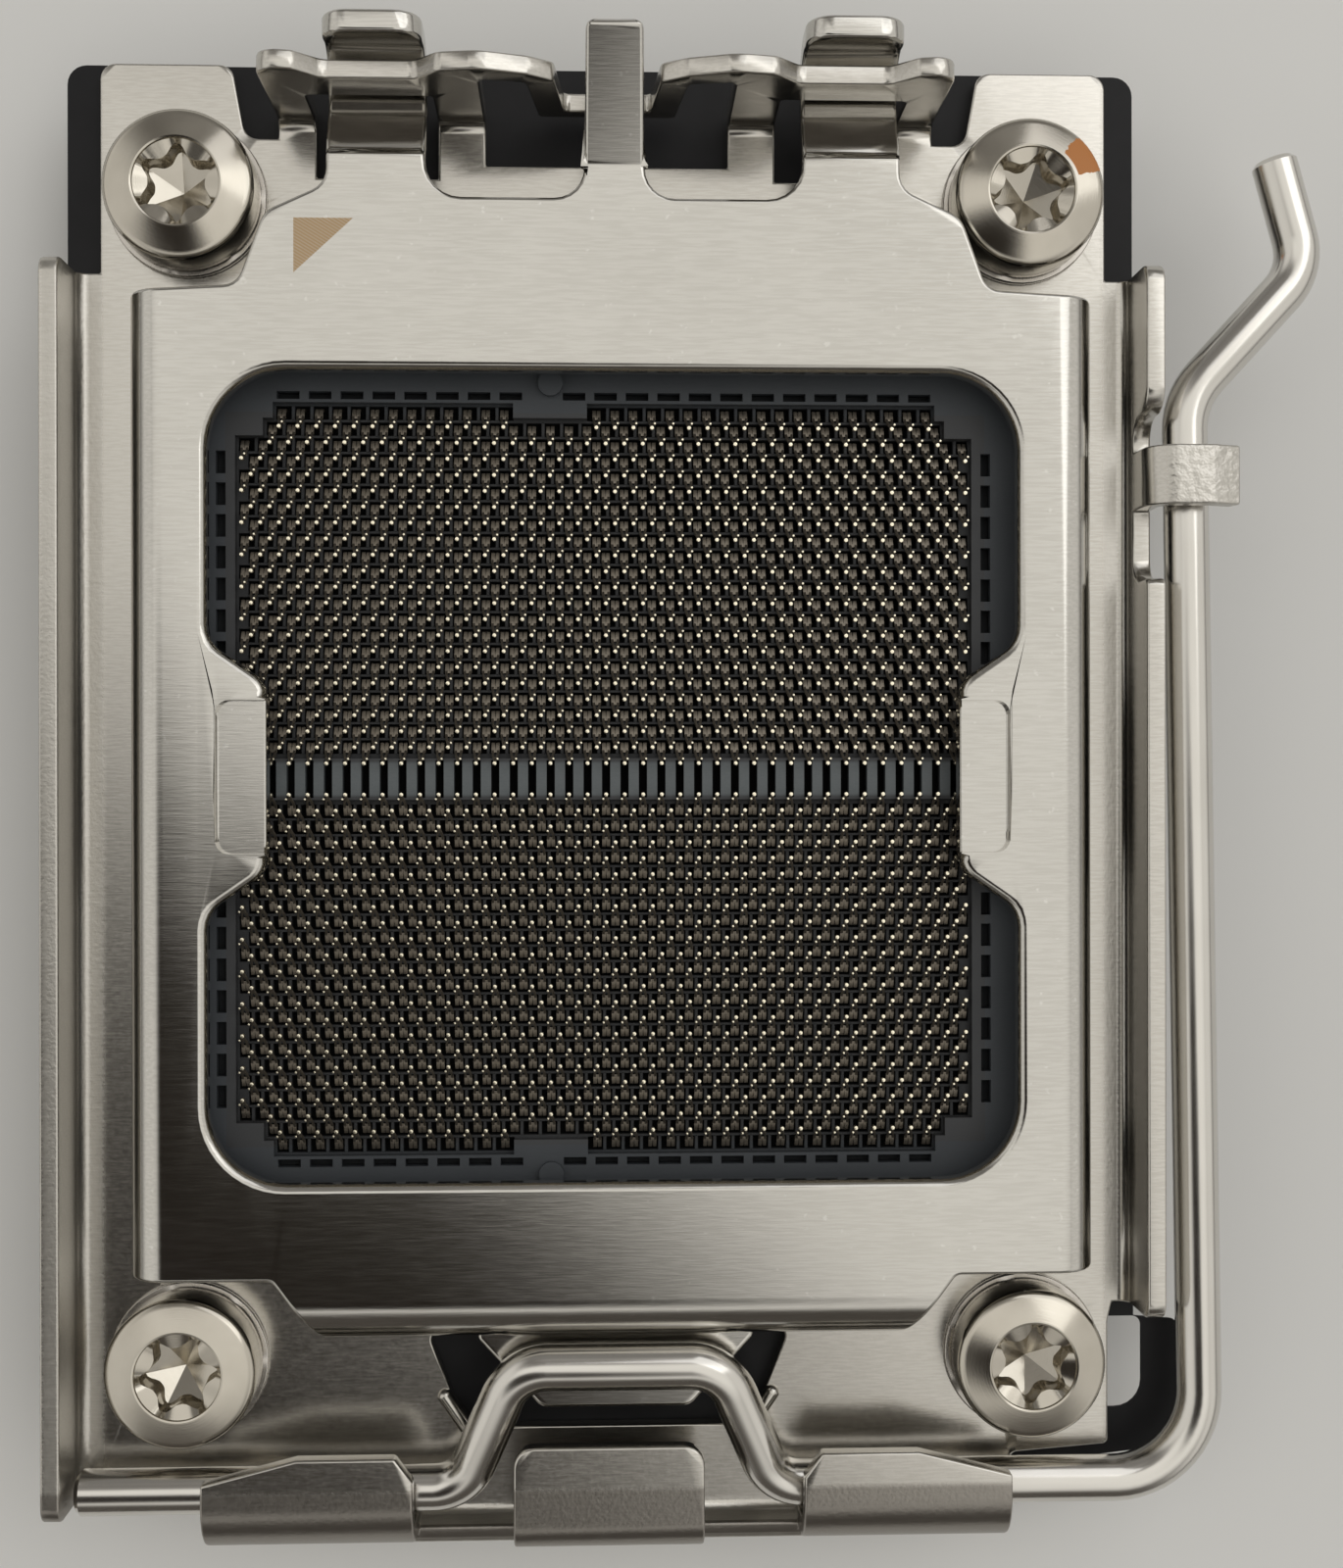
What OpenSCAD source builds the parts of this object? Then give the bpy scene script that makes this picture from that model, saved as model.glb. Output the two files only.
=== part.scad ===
// Processor socket with its clamping mechanism: stiffener frame, hinged load plate, cranked load lever,
// contact housing and 1718 spring contacts. Origin: centre of the four screws, on the board face. Units: mm.

/* [Board fixing] */
// Screw spacing across the socket
screw_span_x = 43; // [42:0.1:44]
// Screw spacing along the socket
screw_span_y = 59.6; // [58.8:0.1:60.4]
// Screw shank diameter
screw_d = 3.5; // [3:0.1:3.7]
// Screw head diameter
head_d = 7.6; // [7:0.1:8]
// Screw head height
head_h = 3; // [2.4:0.1:3.2]
// Depth of the shank below the board face
shank_depth = 5; // [3:0.5:8]
// Washer thickness
washer_t = 0.4; // [0.2:0.1:0.6]

/* [Stiffener frame] */
// Overall width over the side walls
frame_w = 56.2; // [55.6:0.1:57]
// Sheet thickness
sheet_t = 0.95; // [0.8:0.05:1]
// Height of the side walls above the board
wall_h = 5; // [4:0.1:6]
// Insulating film thickness
film_t = 0.15; // [0.1:0.05:0.25]

/* [Load plate] */
// Width over the side flanges
plate_w = 48.3; // [47.6:0.1:49]
// Sheet thickness
plate_t = 1.1; // [0.9:0.05:1.2]
// Height of the top face above the board
plate_top = 5.6; // [5.4:0.05:6]
// Window width and length
window = 40.3; // [39.6:0.1:40.8]
// Depth of the pressed contact pads
pad_drop = 0.5; // [0.3:0.05:0.6]
// Opening angle shown
plate_angle = 0; // [0:5:105]

/* [Load lever] */
// Wire diameter
wire_d = 2.3; // [2:0.05:2.4]
// Throw of the crank
crank_throw = 6.7; // [6.4:0.1:6.8]
// Length of the straight arm
arm_l = 55.5; // [54:0.5:57]
// Inward lean of the arm over its length
arm_lean = 0.75; // [0:0.05:1]
// Opening angle shown
lever_angle = 0; // [0:5:135]

/* [Contact field] */
// Pitch of the contacts in a row
pitch_x = 0.94; // [0.92:0.01:0.95]
// Pitch of the rows
pitch_y = 0.81; // [0.8:0.01:0.83]
// Height of the contact tips above the board
tip_z = 3.4; // [3.2:0.05:3.6]
// Width of one contact
contact_w = 0.4; // [0.3:0.02:0.5]
// Width and length of the contact housing
housing_w = 43.4; // [43:0.1:44]

/* [Fits] */
// Running gap of the shaft in its bearing curls
shaft_gap = 0.5; // [0.35:0.05:0.6]
// Gap between the crank and the front tongue
crank_gap = 0.35; // [0.2:0.05:0.4]
// Gap of the screw shank in its holes
hole_gap = 0.3; // [0.2:0.05:0.5]
// Gap between the housing and the frame round it
housing_gap = 0.5; // [0.3:0.1:0.8]
// Gap kept clear round each washer
washer_gap = 0.3; // [0.2:0.05:0.5]
// Gap between the side wall and the foot of the lever arm
arm_gap = 1.2; // [1:0.05:1.5]

/* [Hidden] */
$fn = 48;
// Heights of the stacked sheets
base_z = film_t;
base_top = base_z + sheet_t;
sheet_mid = base_z + sheet_t / 2;
// Contact field, set a little off the screw centre
field_x = -0.1;
field_y = 0;
rows = 22;
row_n = 39;
first_row = 0.79;
cavity_floor = 1.7;
cavity_top = 2.35;
rim_top = 2.9;
housing_foot = 0.5;
// Rear hinge: the bridge of the frame runs through the axis
hinge_offset = 4.6;
hinge_y = screw_span_y / 2 + hinge_offset;
hinge_z = 6.1;
bridge_half_h = 1.2;
hook_r = 1.55;
ear_x = 11.8;
ear_w = 4.85;
slot_in = 8.7;
slot_out = 14.95;
leg_in = 6.25;
leg_out = 16.9;
// Front shaft
shaft_offset = 6.2;
shaft_y = -screw_span_y / 2 - shaft_offset;
shaft_z = base_top + shaft_gap + wire_d / 2;
curl_r = wire_d / 2 + shaft_gap;
curl_in = 9.75;
curl_out = 20.2;
// Front tongue of the load plate, under the crank
tongue_top = 2.9;
crank_rise = tongue_top + crank_gap + wire_d / 2 - shaft_z;
crank_tilt = asin(crank_rise / crank_throw);
arm_x = frame_w / 2 + arm_gap + wire_d / 2;

// Plane geometry: rounded outlines and bent sheet profiles
function unit(v) = v / norm(v);
function left(v) = [-v[1], v[0]];
function xy(p) = [p[0], p[1]];
function corner_radius(p) = len(p) > 2 ? p[2] : 0;
function cross2(u, v) = u[0] * v[1] - u[1] * v[0];
function arc_points(b, u, v, r) =
  let (turn = atan2(cross2(u, v), u * v))
  let (side = turn < 0 ? -1 : 1)
  let (steps = max(1, ceil(abs(turn) / (r > 2 ? 7.5 : 15))))
  let (centre = b - u * r * tan(abs(turn) / 2) + left(u) * r * side)
  [for (k = [0 : steps])
    let (a = atan2(u[1], u[0]) + turn * k / steps - 90 * side)
    centre + r * [cos(a), sin(a)]];
function corner(a, b, c, r) = r > 0.01 ? arc_points(b, unit(b - a), unit(c - b), r) : [b];
function join(lists) = [for (part = lists) each part];
// Closed outline from [x, y, radius] corners
function rounded(p) =
  let (n = len(p))
  join([for (i = [0 : n - 1])
    corner(xy(p[(i + n - 1) % n]), xy(p[i]), xy(p[(i + 1) % n]), corner_radius(p[i]))]);
function mirrored(p) = [for (q = reversed(p)) [-q[0], q[1], corner_radius(q)]];
// Bent sheet of thickness t along an open path of [x, y, bend radius on the middle] corners
function shifted(p, d) =
  let (last = len(p) - 1)
  [for (i = [0 : last])
    let (u = unit(xy(p[max(i, 1)]) - xy(p[max(i, 1) - 1])))
    let (v = unit(xy(p[min(i, last - 1) + 1]) - xy(p[min(i, last - 1)])))
    let (side = cross2(u, v) < 0 ? -1 : 1)
    let (q = xy(p[i]) + d * (left(u) + left(v)) / (1 + left(u) * left(v)))
    [q[0], q[1], corner_radius(p[i]) == 0 ? 0 : corner_radius(p[i]) - d * side]];
function open_rounded(p) =
  let (last = len(p) - 1)
  join([for (i = [0 : last])
    i == 0 || i == last ? [xy(p[i])] : corner(xy(p[i - 1]), xy(p[i]), xy(p[i + 1]), p[i][2])]);
function reversed(p) = [for (i = [len(p) - 1 : -1 : 0]) p[i]];
function sheet_outline(p, t) =
  concat(open_rounded(shifted(p, -t / 2)), reversed(open_rounded(shifted(p, t / 2))));

// Sheet bent in the Y-Z plane, running along X
module sheet_along_x(path, t, x0, x1) {
  translate([x0, 0, 0])
    rotate([90, 0, 90])
      linear_extrude(x1 - x0)
        polygon(sheet_outline(path, t));
}
// Sheet bent in the X-Z plane, running along Y
module sheet_along_y(path, t, y0, y1) {
  translate([0, y1, 0])
    rotate([90, 0, 0])
      linear_extrude(y1 - y0)
        polygon(sheet_outline(path, t));
}
module both_sides() {
  children();
  mirror([1, 0, 0]) children();
}
module at_screws() {
  for (x = [-1, 1], y = [-1, 1])
    translate([x * screw_span_x / 2, y * screw_span_y / 2, 0])
      children();
}

module box2(x0, x1, y0, y1) {
  translate([x0, y0])
    square([x1 - x0, y1 - y0]);
}

// Stiffener frame
wall_x = frame_w / 2 - sheet_t / 2;
bend_r = 1.1;
// Flat sheet left before a bend starts
bend_lap = 0.2;
flat_x = wall_x - bend_r - bend_lap;
corner_out = frame_w / 2 - 2.1;
corner_in = screw_span_x / 2 - 2.2;
corner_foot = screw_span_x / 2 - 2.9;
corner_r = 0.8;
frame_rear = screw_span_y / 2 + 7;
base_rear = hinge_y - 1.4;
slot_front = hinge_y - 3.4;
gap_front = hinge_y - 2.7;
wall_rear = 26;
wall_end_r = 0.9;
right_wall_front = -27.4;
right_corner_out = frame_w / 2 - 2;
right_corner_rear = right_wall_front - 1;
// Hook that holds the closed lever, standing in a notch of the right wall
neck_front = 10.1;
neck_rear = 18.5;
neck_top = 2.2;
neck_r = 1.2;
mouth_front_r = 0.5;
mouth_rear_r = 1.4;
mouth_rise = 0.02;
hook_front = 13.8;
hook_rear = 16.8;
hook_mid = shaft_z + wire_d / 2 + shaft_gap + sheet_t / 2;
hook_arm_x = arm_x - arm_lean * ((hook_front + hook_rear) / 2 - shaft_y) / arm_l;
hook_bend = hook_arm_x + 0.6;
hook_end = hook_arm_x + wire_d / 2 + 0.9;
hook_dip = 0.5;
// Front edge: low wall, two bearing curls and a middle tab
front_wall_y = shaft_y - curl_r - sheet_t / 2;
front_bend_r = 1;
base_front = front_wall_y + front_bend_r + bend_lap;
front_far = front_wall_y - 2 * sheet_t;
right_corner_front = base_front + 2.1;
right_corner_in = curl_out + 0.8;
low_wall_top = shaft_z - 0.7;
low_wall_lean = 0.6;
curl_mid = shaft_z + curl_r + sheet_t / 2;
curl_rear = shaft_y + 2.3;
curl_slant = 1.2;
curl_knee = curl_out - 4.7;
curl_chamfer = 0.9;
tab_rear = shaft_y + 2.75;
tab_half = 4.75;
tab_r = 1;
tab_bend_r = 1.1;
// Window under the crank, with a rolled lip at each front corner
front_gap_rear = shaft_y + 7.6;
front_gap_front = shaft_y + 2.5;
front_gap_wide = 9.4;
front_gap_narrow = 6.9;
front_knee_x = 8.05;
front_knee_y = shaft_y + 4;
lip_d = 0.8;
lip_side = 1.1;
lip_back = 1.6;
lip_inset = 0.45;
// Rear wall: its bridge carries the ears of the load plate
bridge_low = hinge_z - bridge_half_h;
bridge_high = hinge_z + bridge_half_h;
crest_h = 1.5;
crest_side = 1.2;
crest_end = 0.8;
dip_in = 9.4;
dip_out = 13.8;
leg_foot = 2.5;
link_top = 2.9;
link_low = 2;

module base_outline() {
  polygon(rounded([
    [-flat_x, base_front], [-flat_x, wall_rear], [-corner_out, wall_rear],
    [-corner_out, frame_rear, corner_r], [-corner_in, frame_rear, corner_r],
    [-corner_foot, base_rear, corner_r], [corner_foot, base_rear, corner_r],
    [corner_in, frame_rear, corner_r], [corner_out, frame_rear, corner_r],
    [corner_out, wall_rear], [flat_x, wall_rear], [flat_x, right_wall_front],
    [right_corner_out, right_corner_rear, 0.5], [right_corner_out, right_corner_front, 0.3],
    [right_corner_in, right_corner_front - 0.4, 0.4], [right_corner_in - 0.3, base_front]]));
}
module base_cutouts() {
  housing_hole();
  both_sides()
    box2(-slot_out, -slot_in, slot_front, frame_rear);
  box2(-leg_in, leg_in, gap_front, frame_rear);
  polygon(rounded([
    [-front_gap_wide, front_gap_rear, 0.6], [front_gap_wide, front_gap_rear, 0.6],
    [front_knee_x, front_knee_y, 0.6], [front_gap_narrow, front_gap_front, 0.5],
    [-front_gap_narrow, front_gap_front, 0.5], [-front_knee_x, front_knee_y, 0.6]]));
}
module housing_hole() {
  translate([field_x, field_y])
    square(housing_w + 2 * housing_gap, center = true);
}
module side_wall(side, y0, y1) {
  path = [[flat_x - bend_lap, sheet_mid], [wall_x, sheet_mid, bend_r], [wall_x, wall_h]];
  mirror([side < 0 ? 1 : 0, 0, 0])
    intersection() {
      sheet_along_y(path, sheet_t, y0, y1);
      rotate([90, 0, 90])
        linear_extrude(frame_w)
          polygon(rounded([
            [y0, 0], [y0, wall_h, wall_end_r], [y1, wall_h, wall_end_r], [y1, 0]]));
    }
}
module hook_notch() {
  over = wall_h + sheet_t;
  mouth = wall_h + mouth_rise;
  translate([wall_x - sheet_t, 0, 0])
    rotate([90, 0, 90])
      linear_extrude(2 * sheet_t)
        polygon(rounded([
          [neck_front - mouth_rear_r, over], [neck_front - mouth_rear_r, mouth],
          [neck_front, mouth, mouth_front_r], [neck_front, neck_top, neck_r],
          [neck_rear, neck_top, neck_r], [neck_rear, mouth, mouth_rear_r],
          [neck_rear + 2 * mouth_rear_r, mouth], [neck_rear + 2 * mouth_rear_r, over]]));
}
module lever_hook() {
  path = [
    [flat_x - bend_lap, sheet_mid], [wall_x, sheet_mid, bend_r], [wall_x, hook_mid, bend_r],
    [hook_bend, hook_mid, sheet_t], [hook_end, hook_mid - hook_dip]];
  sheet_along_y(path, sheet_t, hook_front, hook_rear);
}
module front_upstand(rear, x0, x1, bend) {
  path = [
    [base_front + bend_lap, sheet_mid], [front_wall_y, sheet_mid, front_bend_r],
    [front_wall_y, curl_mid, bend], [rear, curl_mid]];
  sheet_along_x(path, sheet_t, x0, x1);
}
module low_front_wall() {
  path = [
    [base_front + bend_lap, sheet_mid], [front_wall_y, sheet_mid, front_bend_r],
    [front_wall_y - low_wall_lean, low_wall_top]];
  sheet_along_x(path, sheet_t, -curl_out, curl_out);
}
module bearing_curl() {
  intersection() {
    front_upstand(curl_rear, -curl_out, -curl_in, curl_r + sheet_t / 2);
    linear_extrude(2 * curl_mid)
      polygon([
        [-curl_out, front_far], [-curl_out, curl_rear - curl_slant], [-curl_knee, curl_rear],
        [-curl_in - curl_chamfer, curl_rear], [-curl_in, curl_rear - curl_slant], [-curl_in, front_far]]);
  }
}
module middle_tab() {
  intersection() {
    front_upstand(tab_rear, -tab_half, tab_half, tab_bend_r);
    linear_extrude(2 * curl_mid)
      polygon(rounded([
        [-tab_half, front_far], [-tab_half, tab_rear, tab_r],
        [tab_half, tab_rear, tab_r], [tab_half, front_far]]));
  }
}
module rolled_lip() {
  foot = [-front_gap_narrow - lip_inset, front_gap_front];
  turn = atan2(lip_side, lip_back);
  translate([foot[0], foot[1], base_top]) {
    rotate([-90, 0, turn])
      cylinder(d = lip_d, h = norm([lip_side, lip_back]));
    translate([-lip_side, lip_back, 0])
      sphere(d = lip_d);
  }
}
module rear_wall_outline() {
  half = [
    [-2.2, link_top, 0.4], [-2.6, bridge_high, 0.5], [-3.8, bridge_high + crest_end, 1.2],
    [-leg_in, bridge_high + crest_h, 2.2], [-slot_in + 0.5, bridge_high + crest_side, 0.8],
    [-dip_in, bridge_high, 0.8], [-dip_out, bridge_high, 0.8],
    [-slot_out - 0.15, bridge_high + crest_side, 0.6],
    [-leg_out, bridge_high + crest_h, 1], [-leg_out, leg_foot], [-slot_out, leg_foot],
    [-slot_out, bridge_low, 0.3], [-slot_in, bridge_low, 0.3], [-slot_in, leg_foot],
    [-leg_in, leg_foot], [-leg_in, bridge_high, 0.4], [-4, bridge_high - 0.4, 0.5],
    [-3.5, link_low, 0.3]];
  polygon(rounded(concat(half, mirrored(half))));
}
module rear_wall() {
  path = [[slot_front, sheet_mid], [hinge_y, sheet_mid, bend_r], [hinge_y, leg_foot]];
  translate([0, hinge_y + sheet_t / 2, 0])
    rotate([90, 0, 0])
      linear_extrude(sheet_t)
        rear_wall_outline();
  both_sides()
    for (leg = [[-leg_out, -slot_out], [-slot_in, -leg_in]])
      sheet_along_x(path, sheet_t, leg[0], leg[1]);
}
module stiffener_frame() {
  color("silver")
    difference() {
      union() {
        translate([0, 0, base_z])
          linear_extrude(sheet_t)
            difference() {
              base_outline();
              base_cutouts();
            }
        side_wall(-1, base_front, wall_rear);
        difference() {
          side_wall(1, right_wall_front, wall_rear);
          hook_notch();
        }
        lever_hook();
        low_front_wall();
        middle_tab();
        both_sides() {
          bearing_curl();
          rolled_lip();
        }
        rear_wall();
      }
      at_screws() {
        cylinder(d = screw_d + 2 * hole_gap, h = wall_h);
        translate([0, 0, base_top])
          cylinder(d = washer_d + 2 * washer_gap, h = wall_h);
      }
    }
}

// Insulating film
film_left = frame_w / 2 - 0.2;
film_right = frame_w / 2 - 0.4;
film_ear = frame_w / 2 + 2;
film_rear = frame_rear + 0.2;
film_front = base_front + 0.7;
film_slot_in = right_corner_out - 0.6;
film_slot_out = right_corner_out + 2;
film_slot_front = shaft_y + 2.8;
film_slot_rear = right_corner_rear;

module insulating_film() {
  color([0.05, 0.05, 0.06])
    linear_extrude(film_t)
      difference() {
        polygon(rounded([
          [-film_left, film_front, 1], [-film_left, film_rear, 1], [film_right, film_rear, 1],
          [film_right, right_corner_rear], [film_ear, right_corner_rear - 0.2, 0.5],
          [film_ear, film_front + 1, 1], [right_corner_in, film_front]]));
        housing_hole();
        polygon(rounded([
          [film_slot_in, film_slot_front, 0.5], [film_slot_in, film_slot_rear, 0.5],
          [film_slot_out, film_slot_rear, 0.5], [film_slot_out, film_slot_front, 1.4]]));
        at_screws()
          circle(d = screw_d + 2 * hole_gap);
      }
}

// Load plate
plate_mid = plate_top - plate_t / 2;
plate_y = 0.1;
plate_x = 0.35;
flange_x = plate_w / 2 - plate_t / 2;
flange_low = 3.1;
flange_rear = hinge_y - 10.2;
flange_front = shaft_y + 11.2;
flange_r = 1.4;
flange_start = flange_x - flange_r;
// Rear edge, between the ears and the screw heads
plate_rear = hinge_y - 5.6;
shoulder_rear = hinge_y - 5;
shoulder_y = hinge_y - 6.4;
shoulder_x = screw_span_x / 2 - 4.2;
shoulder_foot = screw_span_x / 2 - 2.9;
// Front lip and the tongue under the crank
lip_y = shaft_y + 8.5;
lip_low = 3.2;
lip_r = 1.7;
lip_wide = 17;
lip_narrow = 14.4;
lip_edge = lip_y - 0.8;
lip_fold_y = lip_y + lip_r;
lip_fold_x = lip_wide - (lip_wide - lip_narrow) * (flange_front - lip_fold_y) / (flange_front - lip_edge);
front_start = flange_front + 0.8;
tongue_tip = shaft_y + 4;
tongue_mid = tongue_top - plate_t / 2;
tongue_wide = 7;
tongue_narrow = 3.8;
// Ears hooked under the bridge, and the tongue between them
ear_r = hook_r + plate_t / 2;
ear_top = 8.1;
ear_root = hinge_y - 3.4;
ear_bend = hinge_y - 3.3;
ear_low = hinge_y - 1.3;
rear_tongue_half = 1.5;
rear_tongue_bend = hinge_y - 3.8;
tongue_end_y = hinge_y + 2.3;
tongue_end_z = 8;
// Window with a pressed pad on each side
window_r = 3.9;
tab_x = 17.25;
tab_end = 4.7;
tab_root = 6.7;
pad_x = 19.7;
pad_half = 3.8;
pad_r = 0.7;
// The hook bores are cut this far past the inner face of the bent sheet
bore_cut = 0.04;

module window_outline() {
  w = window / 2;
  half = [
    [-w, -w, window_r], [-w, -tab_root, 1.6], [-tab_x, -tab_end, 1.3],
    [-tab_x, tab_end, 1.3], [-w, tab_root, 1.6], [-w, w, window_r]];
  translate([0, plate_y])
    polygon(rounded(concat(half, mirrored(half))));
}
module plate_outline() {
  ear_in = ear_x - ear_w / 2;
  ear_out = ear_x + ear_w / 2;
  half = [
    [-rear_tongue_half, rear_tongue_bend], [-rear_tongue_half, plate_rear, 1.5],
    [-ear_in, plate_rear, 1.8], [-ear_in, ear_root], [-ear_out, ear_root],
    [-ear_out, shoulder_rear, 1.2], [-shoulder_x, shoulder_y, 1.4],
    [-shoulder_foot, flange_rear + 0.2, 1], [-flange_start, flange_rear],
    [-flange_start, flange_front], [-lip_wide, flange_front, 0.5],
    [-lip_fold_x, lip_fold_y]];
  polygon(rounded(concat(half, mirrored(half))));
}
module pad_outline(inner) {
  both_sides()
    translate([0, plate_y])
      polygon(rounded([
        [-pad_x, -pad_half, pad_r], [-inner, -pad_half], [-inner, pad_half], [-pad_x, pad_half, pad_r]]));
}
module plate_flat() {
  difference() {
    translate([0, 0, plate_top - plate_t])
      linear_extrude(plate_t)
        difference() {
          plate_outline();
          window_outline();
        }
    translate([0, 0, plate_top - pad_drop])
      linear_extrude(plate_t)
        pad_outline(tab_x - 1);
  }
  translate([0, 0, plate_top - plate_t - pad_drop])
    linear_extrude(pad_drop)
      pad_outline(tab_x);
}
module plate_flanges() {
  path = [[-flange_start + 1, plate_mid], [-flange_x, plate_mid, flange_r], [-flange_x, flange_low]];
  both_sides()
    sheet_along_y(path, plate_t, flange_front, flange_rear);
}
module front_lip() {
  path = [[front_start, plate_mid], [lip_y, plate_mid, lip_r], [lip_y, lip_low]];
  start = front_start + 1;
  intersection() {
    sheet_along_x(path, plate_t, -lip_wide, lip_wide);
    linear_extrude(2 * plate_top)
      polygon(rounded([
        [-lip_fold_x, start], [-lip_fold_x, lip_fold_y], [-lip_narrow, lip_edge, 1.6],
        [lip_narrow, lip_edge, 1.6], [lip_fold_x, lip_fold_y], [lip_fold_x, start]]));
  }
}
module front_tongue() {
  path = [
    [front_start, plate_mid], [lip_y, plate_mid, lip_r], [lip_y, tongue_mid, 0.8],
    [tongue_tip, tongue_mid]];
  start = front_start + 1;
  intersection() {
    sheet_along_x(path, plate_t, -tongue_wide, tongue_wide);
    linear_extrude(2 * plate_top)
      polygon(rounded([
        [-tongue_wide, start], [-tongue_wide, lip_y - 1], [-tongue_narrow, tongue_tip, 0.8],
        [tongue_narrow, tongue_tip, 0.8], [tongue_wide, lip_y - 1], [tongue_wide, start]]));
  }
}
module ear() {
  half_w = ear_w / 2;
  low = hinge_z - ear_r;
  path = [
    [ear_root - 1, plate_mid], [ear_bend, plate_mid, 1.6], [ear_low, low, 1.2],
    [hinge_y + ear_r, low, ear_r], [hinge_y + ear_r, ear_top]];
  difference() {
    intersection() {
      sheet_along_x(path, plate_t, -ear_x - half_w, -ear_x + half_w);
      translate([-ear_x, hinge_y + 3 * ear_r, 0])
        rotate([90, 0, 0])
          linear_extrude(9 * ear_r)
            polygon(rounded([
              [-half_w, 0], [half_w, 0], [half_w, ear_top, 1.3], [-half_w, ear_top, 1.3]]));
    }
    translate([-ear_x - ear_w, hinge_y, hinge_z])
      rotate([0, 90, 0])
        cylinder(r = hook_r + bore_cut, h = 2 * ear_w);
  }
}
module rear_tongue() {
  half_w = rear_tongue_half;
  path = [
    [rear_tongue_bend - 1.6, plate_mid], [rear_tongue_bend, plate_mid, 1.2], [tongue_end_y, tongue_end_z]];
  start = rear_tongue_bend - 2.6;
  intersection() {
    sheet_along_x(path, plate_t, -half_w, half_w);
    linear_extrude(2 * plate_top)
      polygon(rounded([
        [-half_w, start], [half_w, start], [half_w - 0.1, tongue_end_y, 0.6],
        [-half_w + 0.1, tongue_end_y, 0.6]]));
  }
}
module load_plate() {
  color("gainsboro")
    translate([plate_x, hinge_y, hinge_z])
      rotate([-plate_angle, 0, 0])
        translate([0, -hinge_y, -hinge_z]) {
          plate_flat();
          plate_flanges();
          front_lip();
          front_tongue();
          both_sides()
            ear();
          rear_tongue();
        }
}

// Load lever: one bent wire
crank_root = 7.9;
crank_half = 5.2;
crank_x = 0.5;
crank_up = crank_throw * [0, cos(crank_tilt), sin(crank_tilt)];
shaft = [0, shaft_y, shaft_z];
shaft_end = frame_w / 2 - 1.3;
arm_end = [arm_x - arm_lean, arm_l, 0];
handle_out = 6.2;
handle_rise = 6.75;
tip_out = 4.65;
tip_rise = 12.4;
wire_path = [
  [-shaft_end, 0, 0], [crank_x - crank_root, 0, 0], crank_up + [crank_x - crank_half, 0, 0],
  crank_up + [crank_x + crank_half, 0, 0], [crank_x + crank_root, 0, 0], [arm_x, 0, 0],
  arm_end, arm_end + [handle_out, handle_rise, 0], arm_end + [tip_out, tip_rise, 0]];
wire_bends = [0, 2.2, 2.4, 2.4, 2.2, 4.5, 4, 3, 0];
function wire_dir(i) = unit(wire_path[i + 1] - wire_path[i]);
function bend_angle(i) = acos(wire_dir(i - 1) * wire_dir(i));
function bend_cut(i) = wire_bends[i] == 0 ? 0 : wire_bends[i] * tan(bend_angle(i) / 2);
function columns(x, y, z, o) =
  [[x[0], y[0], z[0], o[0]], [x[1], y[1], z[1], o[1]], [x[2], y[2], z[2], o[2]], [0, 0, 0, 1]];
function across(u) = unit(abs(u[0]) < 0.9 ? cross(u, [1, 0, 0]) : cross(u, [0, 1, 0]));
// The bends are a little thicker than the straights, which end inside them
bend_over = 0.012;
bend_reach = 0.1;
module wire_straight(i) {
  u = wire_dir(i);
  cut0 = i == 0 ? 0 : bend_cut(i) - bend_reach;
  cut1 = i == len(wire_path) - 2 ? 0 : bend_cut(i + 1) - bend_reach;
  run = norm(wire_path[i + 1] - wire_path[i]) - cut0 - cut1;
  multmatrix(columns(across(u), cross(u, across(u)), u, wire_path[i] + u * cut0))
    cylinder(d = wire_d, h = run);
}
module wire_bend(i) {
  u = wire_dir(i - 1);
  v = wire_dir(i);
  inward = unit(v - u * (u * v));
  centre = wire_path[i] - u * bend_cut(i) + inward * wire_bends[i];
  multmatrix(columns(-inward, u, cross(-inward, u), centre))
    rotate_extrude(angle = bend_angle(i))
      translate([wire_bends[i], 0])
        circle(d = wire_d + 2 * bend_over);
}
module load_lever() {
  color("lightgray")
    translate(shaft)
      rotate([lever_angle, 0, 0]) {
        for (i = [0 : len(wire_path) - 2])
          wire_straight(i);
        for (i = [1 : len(wire_path) - 2])
          wire_bend(i);
      }
}

// Screws and washers
washer_z = base_top;
washer_d = head_d + 0.5;
head_z = washer_z + washer_t;
head_edge = head_h - 0.5;
head_flat = head_d / 2 - 1.2;
neck_d = screw_d - 0.5;
tip_chamfer = 0.4;
recess_depth = 1.5;
recess_cone = 0.4;
lobe_r = 0.52;
lobe_at = 1.55;

module six_lobes() {
  circle(lobe_at);
  for (k = [0 : 5])
    rotate(60 * k)
      translate([lobe_at, 0])
        circle(lobe_r);
}
module clamp_screw() {
  difference() {
    union() {
      translate([0, 0, head_z])
        rotate_extrude()
          polygon(rounded([
            [0, 0], [head_d / 2, 0], [head_d / 2, head_edge, 0.7], [head_flat, head_h, 0.4], [0, head_h]]));
      cylinder(d = neck_d, h = head_z + head_edge / 2);
      translate([0, 0, tip_chamfer - shank_depth])
        cylinder(d = screw_d, h = shank_depth - tip_chamfer);
      translate([0, 0, -shank_depth])
        cylinder(d1 = screw_d - 2 * tip_chamfer, d2 = screw_d, h = tip_chamfer);
    }
    translate([0, 0, head_z + head_h - recess_depth]) {
      linear_extrude(head_h)
        six_lobes();
      translate([0, 0, -recess_cone])
        cylinder(r1 = 0, r2 = lobe_at - 0.1, h = recess_cone);
    }
  }
}
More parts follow.
